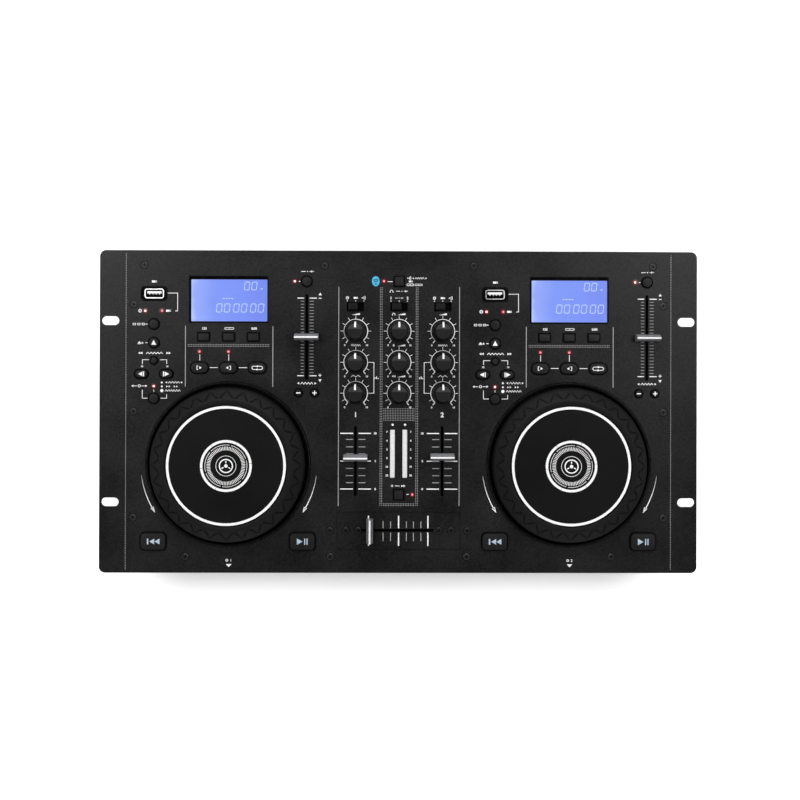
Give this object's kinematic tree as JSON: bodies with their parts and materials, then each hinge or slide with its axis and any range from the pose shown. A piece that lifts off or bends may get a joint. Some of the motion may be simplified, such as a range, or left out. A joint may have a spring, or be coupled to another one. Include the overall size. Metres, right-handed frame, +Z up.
{
  "type": "dual disc player and mixer console",
  "caption": "Rack-width console with two disc decks, jog wheels, displays and pitch faders, and a mixer with knobs, level faders and a crossfader between them.",
  "frame": {"origin": "middle of the footprint, on the surface that the feet stand on", "axes": "+X to the user's right along the faceplate, +Y away from the user, +Z up"},
  "size_m": [0.4826, 0.26, 0.106],
  "materials": {
    "faceplate_paint": "fine satin powder coat, charcoal",
    "case_paint": "black powder coat",
    "jog_plastic": "black moulded plastic with a soft-touch rim",
    "collar_plastic": "dark grey moulded plastic",
    "key_plastic": "black moulded keys with printed legends",
    "knob_plastic": "dark grey moulded knob",
    "cap_plastic": "silver-grey moulded fader cap with a white line",
    "switch_plastic": "grey moulded slide cap",
    "display_glass": "backlit blue display behind a clear window",
    "light_plastic": "tinted light guides",
    "board_laminate": "green circuit board laminate",
    "slider_steel": "plated steel slider and switch bodies",
    "socket_plastic": "black plastic and plated metal sockets",
    "drive_plastic": "black moulded drive body",
    "supply_parts": "circuit board with transformer and capacitors",
    "foot_rubber": "black rubber"
  },
  "bodies": {
    "chassis": {"top_panel": "faceplate_paint", "case_tub": "case_paint", "feet": "foot_rubber", "jog_collars": "collar_plastic", "slider_bodies": "slider_steel", "crossfader_plate": "faceplate_paint", "displays": "display_glass", "indicator_lights": "light_plastic", "circuit_boards": "board_laminate", "sockets": "socket_plastic", "disc_drives": "drive_plastic", "power_supply": "supply_parts"},
    "left_jog_wheel": {"left_jog_wheel": "jog_plastic"},
    "right_jog_wheel": {"right_jog_wheel": "jog_plastic"},
    "left_pitch_fader": {"left_pitch_fader": "cap_plastic"},
    "right_pitch_fader": {"right_pitch_fader": "cap_plastic"},
    "left_level_fader": {"left_level_fader": "cap_plastic"},
    "right_level_fader": {"right_level_fader": "cap_plastic"},
    "crossfader": {"crossfader": "cap_plastic"},
    "left_gain_knob": {"left_gain_knob": "knob_plastic"},
    "left_high_knob": {"left_high_knob": "knob_plastic"},
    "left_low_knob": {"left_low_knob": "knob_plastic"},
    "cue_volume_knob": {"cue_volume_knob": "knob_plastic"},
    "mic_volume_knob": {"mic_volume_knob": "knob_plastic"},
    "master_volume_knob": {"master_volume_knob": "knob_plastic"},
    "right_gain_knob": {"right_gain_knob": "knob_plastic"},
    "right_high_knob": {"right_high_knob": "knob_plastic"},
    "right_low_knob": {"right_low_knob": "knob_plastic"},
    "left_source_switch": {"left_source_switch": "switch_plastic"},
    "cue_select_switch": {"cue_select_switch": "switch_plastic"},
    "right_source_switch": {"right_source_switch": "switch_plastic"},
    "power_rocker": {"power_rocker": "switch_plastic"},
    "left_cue_key": {"left_cue_key": "key_plastic"},
    "left_play_key": {"left_play_key": "key_plastic"},
    "left_eject_key": {"left_eject_key": "key_plastic"},
    "left_select_key": {"left_select_key": "key_plastic"},
    "left_plus_ten_key": {"left_plus_ten_key": "key_plastic"},
    "left_jog_mode_key": {"left_jog_mode_key": "key_plastic"},
    "left_pitch_range_key": {"left_pitch_range_key": "key_plastic"},
    "left_loop_in_key": {"left_loop_in_key": "key_plastic"},
    "left_loop_out_key": {"left_loop_out_key": "key_plastic"},
    "left_reloop_key": {"left_reloop_key": "key_plastic"},
    "left_menu_keys": {"left_menu_keys": "key_plastic"},
    "left_track_rocker": {"left_track_rocker": "key_plastic"},
    "left_bend_rocker": {"left_bend_rocker": "key_plastic"},
    "right_cue_key": {"right_cue_key": "key_plastic"},
    "right_play_key": {"right_play_key": "key_plastic"},
    "right_eject_key": {"right_eject_key": "key_plastic"},
    "right_select_key": {"right_select_key": "key_plastic"},
    "right_plus_ten_key": {"right_plus_ten_key": "key_plastic"},
    "right_jog_mode_key": {"right_jog_mode_key": "key_plastic"},
    "right_pitch_range_key": {"right_pitch_range_key": "key_plastic"},
    "right_loop_in_key": {"right_loop_in_key": "key_plastic"},
    "right_loop_out_key": {"right_loop_out_key": "key_plastic"},
    "right_reloop_key": {"right_reloop_key": "key_plastic"},
    "right_menu_keys": {"right_menu_keys": "key_plastic"},
    "right_track_rocker": {"right_track_rocker": "key_plastic"},
    "right_bend_rocker": {"right_bend_rocker": "key_plastic"},
    "pairing_key": {"pairing_key": "key_plastic"},
    "fader_start_key": {"fader_start_key": "key_plastic"}
  },
  "joints": [
    {"name": "left_jog_spin", "type": "hinge", "parent": "chassis", "child": "left_jog_wheel", "pos_m": [-0.1376, -0.0424, 0.095], "axis": [0, 0, 1], "continuous": true},
    {"name": "right_jog_spin", "type": "hinge", "parent": "chassis", "child": "right_jog_wheel", "pos_m": [0.1376, -0.0424, 0.095], "axis": [0, 0, 1], "continuous": true},
    {"name": "left_pitch_slide", "type": "slide", "parent": "chassis", "child": "left_pitch_fader", "axis": [0, 1, 0], "range_m": [-0.03, 0.03]},
    {"name": "right_pitch_slide", "type": "slide", "parent": "chassis", "child": "right_pitch_fader", "axis": [0, 1, 0], "range_m": [-0.03, 0.03]},
    {"name": "left_level_slide", "type": "slide", "parent": "chassis", "child": "left_level_fader", "axis": [0, 1, 0], "range_m": [-0.02555, 0.01945]},
    {"name": "right_level_slide", "type": "slide", "parent": "chassis", "child": "right_level_fader", "axis": [0, 1, 0], "range_m": [-0.02635, 0.01865]},
    {"name": "crossfader_slide", "type": "slide", "parent": "chassis", "child": "crossfader", "axis": [1, 0, 0], "range_m": [0, 0.045]},
    {"name": "left_gain_turn", "type": "hinge", "parent": "chassis", "child": "left_gain_knob", "pos_m": [-0.0353, 0.0652, 0.095], "axis": [0, 0, -1], "range_deg": [-140, 140]},
    {"name": "left_high_turn", "type": "hinge", "parent": "chassis", "child": "left_high_knob", "pos_m": [-0.0353, 0.04, 0.095], "axis": [0, 0, -1], "range_deg": [-140, 140]},
    {"name": "left_low_turn", "type": "hinge", "parent": "chassis", "child": "left_low_knob", "pos_m": [-0.0353, 0.015, 0.095], "axis": [0, 0, -1], "range_deg": [-140, 140]},
    {"name": "cue_volume_turn", "type": "hinge", "parent": "chassis", "child": "cue_volume_knob", "pos_m": [0, 0.0652, 0.095], "axis": [0, 0, -1], "range_deg": [-140, 140]},
    {"name": "mic_volume_turn", "type": "hinge", "parent": "chassis", "child": "mic_volume_knob", "pos_m": [0, 0.04, 0.095], "axis": [0, 0, -1], "range_deg": [-140, 140]},
    {"name": "master_volume_turn", "type": "hinge", "parent": "chassis", "child": "master_volume_knob", "pos_m": [0, 0.015, 0.095], "axis": [0, 0, -1], "range_deg": [-140, 140]},
    {"name": "right_gain_turn", "type": "hinge", "parent": "chassis", "child": "right_gain_knob", "pos_m": [0.0353, 0.0652, 0.095], "axis": [0, 0, -1], "range_deg": [-140, 140]},
    {"name": "right_high_turn", "type": "hinge", "parent": "chassis", "child": "right_high_knob", "pos_m": [0.0353, 0.04, 0.095], "axis": [0, 0, -1], "range_deg": [-140, 140]},
    {"name": "right_low_turn", "type": "hinge", "parent": "chassis", "child": "right_low_knob", "pos_m": [0.0353, 0.015, 0.095], "axis": [0, 0, -1], "range_deg": [-140, 140]},
    {"name": "left_source_slide", "type": "slide", "parent": "chassis", "child": "left_source_switch", "axis": [1, 0, 0], "range_m": [0, 0.004]},
    {"name": "cue_select_slide", "type": "slide", "parent": "chassis", "child": "cue_select_switch", "axis": [1, 0, 0], "range_m": [0, 0.004]},
    {"name": "right_source_slide", "type": "slide", "parent": "chassis", "child": "right_source_switch", "axis": [1, 0, 0], "range_m": [0, 0.004]},
    {"name": "power_rocker_tilt", "type": "hinge", "parent": "chassis", "child": "power_rocker", "pos_m": [0.132, 0.1222, 0.05], "axis": [0, 0, 1], "range_deg": [0, 16]},
    {"name": "left_cue_key_press", "type": "slide", "parent": "chassis", "child": "left_cue_key", "axis": [0, 0, -1], "range_m": [0, 0.0005], "stiffness_N_per_m": 300, "springref_m": -0.0001},
    {"name": "left_play_key_press", "type": "slide", "parent": "chassis", "child": "left_play_key", "axis": [0, 0, -1], "range_m": [0, 0.0005], "stiffness_N_per_m": 300, "springref_m": -0.0001},
    {"name": "left_eject_key_press", "type": "slide", "parent": "chassis", "child": "left_eject_key", "axis": [0, 0, -1], "range_m": [0, 0.0005], "stiffness_N_per_m": 300, "springref_m": -0.0001},
    {"name": "left_select_key_press", "type": "slide", "parent": "chassis", "child": "left_select_key", "axis": [0, 0, -1], "range_m": [0, 0.0005], "stiffness_N_per_m": 300, "springref_m": -0.0001},
    {"name": "left_plus_ten_key_press", "type": "slide", "parent": "chassis", "child": "left_plus_ten_key", "axis": [0, 0, -1], "range_m": [0, 0.0005], "stiffness_N_per_m": 300, "springref_m": -0.0001},
    {"name": "left_jog_mode_key_press", "type": "slide", "parent": "chassis", "child": "left_jog_mode_key", "axis": [0, 0, -1], "range_m": [0, 0.0005], "stiffness_N_per_m": 300, "springref_m": -0.0001},
    {"name": "left_pitch_range_key_press", "type": "slide", "parent": "chassis", "child": "left_pitch_range_key", "axis": [0, 0, -1], "range_m": [0, 0.0005], "stiffness_N_per_m": 300, "springref_m": -0.0001},
    {"name": "left_loop_in_key_press", "type": "slide", "parent": "chassis", "child": "left_loop_in_key", "axis": [0, 0, -1], "range_m": [0, 0.0005], "stiffness_N_per_m": 300, "springref_m": -0.0001},
    {"name": "left_loop_out_key_press", "type": "slide", "parent": "chassis", "child": "left_loop_out_key", "axis": [0, 0, -1], "range_m": [0, 0.0005], "stiffness_N_per_m": 300, "springref_m": -0.0001},
    {"name": "left_reloop_key_press", "type": "slide", "parent": "chassis", "child": "left_reloop_key", "axis": [0, 0, -1], "range_m": [0, 0.0005], "stiffness_N_per_m": 300, "springref_m": -0.0001},
    {"name": "left_menu_keys_press", "type": "slide", "parent": "chassis", "child": "left_menu_keys", "axis": [0, 0, -1], "range_m": [0, 0.0005], "stiffness_N_per_m": 300, "springref_m": -0.0001},
    {"name": "left_track_tilt", "type": "hinge", "parent": "chassis", "child": "left_track_rocker", "pos_m": [-0.1976, 0.0302, 0.086], "axis": [0, 1, 0], "range_deg": [-2.5, 2.5], "stiffness_Nm_per_rad": 0.02},
    {"name": "left_bend_tilt", "type": "hinge", "parent": "chassis", "child": "left_bend_rocker", "pos_m": [-0.0746, 0.0152, 0.086], "axis": [0, 1, 0], "range_deg": [-3.5, 3.5], "stiffness_Nm_per_rad": 0.02},
    {"name": "right_cue_key_press", "type": "slide", "parent": "chassis", "child": "right_cue_key", "axis": [0, 0, -1], "range_m": [0, 0.0005], "stiffness_N_per_m": 300, "springref_m": -0.0001},
    {"name": "right_play_key_press", "type": "slide", "parent": "chassis", "child": "right_play_key", "axis": [0, 0, -1], "range_m": [0, 0.0005], "stiffness_N_per_m": 300, "springref_m": -0.0001},
    {"name": "right_eject_key_press", "type": "slide", "parent": "chassis", "child": "right_eject_key", "axis": [0, 0, -1], "range_m": [0, 0.0005], "stiffness_N_per_m": 300, "springref_m": -0.0001},
    {"name": "right_select_key_press", "type": "slide", "parent": "chassis", "child": "right_select_key", "axis": [0, 0, -1], "range_m": [0, 0.0005], "stiffness_N_per_m": 300, "springref_m": -0.0001},
    {"name": "right_plus_ten_key_press", "type": "slide", "parent": "chassis", "child": "right_plus_ten_key", "axis": [0, 0, -1], "range_m": [0, 0.0005], "stiffness_N_per_m": 300, "springref_m": -0.0001},
    {"name": "right_jog_mode_key_press", "type": "slide", "parent": "chassis", "child": "right_jog_mode_key", "axis": [0, 0, -1], "range_m": [0, 0.0005], "stiffness_N_per_m": 300, "springref_m": -0.0001},
    {"name": "right_pitch_range_key_press", "type": "slide", "parent": "chassis", "child": "right_pitch_range_key", "axis": [0, 0, -1], "range_m": [0, 0.0005], "stiffness_N_per_m": 300, "springref_m": -0.0001},
    {"name": "right_loop_in_key_press", "type": "slide", "parent": "chassis", "child": "right_loop_in_key", "axis": [0, 0, -1], "range_m": [0, 0.0005], "stiffness_N_per_m": 300, "springref_m": -0.0001},
    {"name": "right_loop_out_key_press", "type": "slide", "parent": "chassis", "child": "right_loop_out_key", "axis": [0, 0, -1], "range_m": [0, 0.0005], "stiffness_N_per_m": 300, "springref_m": -0.0001},
    {"name": "right_reloop_key_press", "type": "slide", "parent": "chassis", "child": "right_reloop_key", "axis": [0, 0, -1], "range_m": [0, 0.0005], "stiffness_N_per_m": 300, "springref_m": -0.0001},
    {"name": "right_menu_keys_press", "type": "slide", "parent": "chassis", "child": "right_menu_keys", "axis": [0, 0, -1], "range_m": [0, 0.0005], "stiffness_N_per_m": 300, "springref_m": -0.0001},
    {"name": "right_track_tilt", "type": "hinge", "parent": "chassis", "child": "right_track_rocker", "pos_m": [0.0776, 0.0302, 0.086], "axis": [0, 1, 0], "range_deg": [-2.5, 2.5], "stiffness_Nm_per_rad": 0.02},
    {"name": "right_bend_tilt", "type": "hinge", "parent": "chassis", "child": "right_bend_rocker", "pos_m": [0.2006, 0.0152, 0.086], "axis": [0, 1, 0], "range_deg": [-3.5, 3.5], "stiffness_Nm_per_rad": 0.02},
    {"name": "pairing_key_press", "type": "slide", "parent": "chassis", "child": "pairing_key", "axis": [0, 0, -1], "range_m": [0, 0.0005], "stiffness_N_per_m": 300, "springref_m": -0.0001},
    {"name": "fader_start_key_press", "type": "slide", "parent": "chassis", "child": "fader_start_key", "axis": [0, 0, -1], "range_m": [0, 0.0005], "stiffness_N_per_m": 300, "springref_m": -0.0001}
  ]
}
